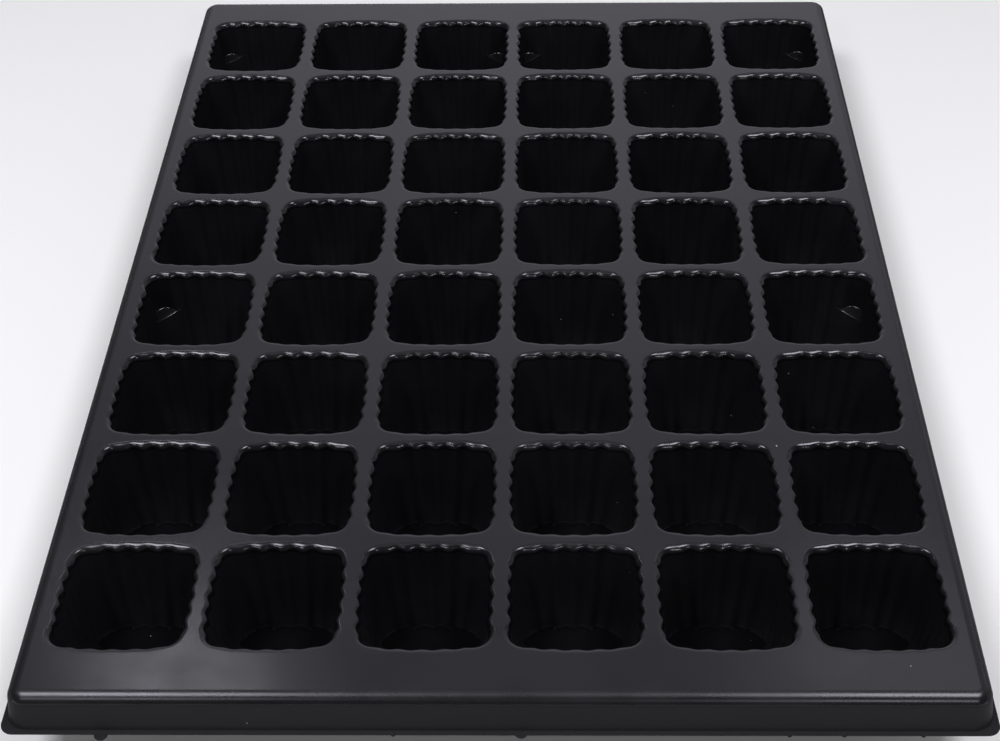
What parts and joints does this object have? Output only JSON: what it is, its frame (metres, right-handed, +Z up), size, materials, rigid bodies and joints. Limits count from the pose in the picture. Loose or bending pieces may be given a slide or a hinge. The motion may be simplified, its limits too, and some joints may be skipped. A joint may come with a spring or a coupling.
{
  "type": "seedling plug tray",
  "caption": "Shallow black plug tray: tapered square cells with fluted walls and drain holes hang from a flat deck with a rolled, flanged skirt.",
  "frame": {"origin": "middle of the tray on the surface that its cells stand on", "axes": "+X along the short side, to the right as seen from the front end; +Y along the long side, away from the front end; +Z up, out of the cells"},
  "size_m": [0.2868, 0.4022, 0.036],
  "materials": {
    "tray_sheet": "satin black formed sheet"
  },
  "bodies": {
    "root": {"cell_r1_c1": "tray_sheet", "cell_r1_c2": "tray_sheet", "cell_r1_c3": "tray_sheet", "cell_r1_c4": "tray_sheet", "cell_r1_c5": "tray_sheet", "cell_r1_c6": "tray_sheet", "cell_r2_c1": "tray_sheet", "cell_r2_c2": "tray_sheet", "cell_r2_c3": "tray_sheet", "cell_r2_c4": "tray_sheet", "cell_r2_c5": "tray_sheet", "cell_r2_c6": "tray_sheet", "cell_r3_c1": "tray_sheet", "cell_r3_c2": "tray_sheet", "cell_r3_c3": "tray_sheet", "cell_r3_c4": "tray_sheet", "cell_r3_c5": "tray_sheet", "cell_r3_c6": "tray_sheet", "cell_r4_c1": "tray_sheet", "cell_r4_c2": "tray_sheet", "cell_r4_c3": "tray_sheet", "cell_r4_c4": "tray_sheet", "cell_r4_c5": "tray_sheet", "cell_r4_c6": "tray_sheet", "cell_r5_c1": "tray_sheet", "cell_r5_c2": "tray_sheet", "cell_r5_c3": "tray_sheet", "cell_r5_c4": "tray_sheet", "cell_r5_c5": "tray_sheet", "cell_r5_c6": "tray_sheet", "cell_r6_c1": "tray_sheet", "cell_r6_c2": "tray_sheet", "cell_r6_c3": "tray_sheet", "cell_r6_c4": "tray_sheet", "cell_r6_c5": "tray_sheet", "cell_r6_c6": "tray_sheet", "cell_r7_c1": "tray_sheet", "cell_r7_c2": "tray_sheet", "cell_r7_c3": "tray_sheet", "cell_r7_c4": "tray_sheet", "cell_r7_c5": "tray_sheet", "cell_r7_c6": "tray_sheet", "cell_r8_c1": "tray_sheet", "cell_r8_c2": "tray_sheet", "cell_r8_c3": "tray_sheet", "cell_r8_c4": "tray_sheet", "cell_r8_c5": "tray_sheet", "cell_r8_c6": "tray_sheet", "rim_front": "tray_sheet", "rim_back": "tray_sheet", "rim_left": "tray_sheet", "rim_right": "tray_sheet", "corner_front_left": "tray_sheet", "corner_front_right": "tray_sheet", "corner_back_left": "tray_sheet", "corner_back_right": "tray_sheet"}
  },
  "joints": []
}
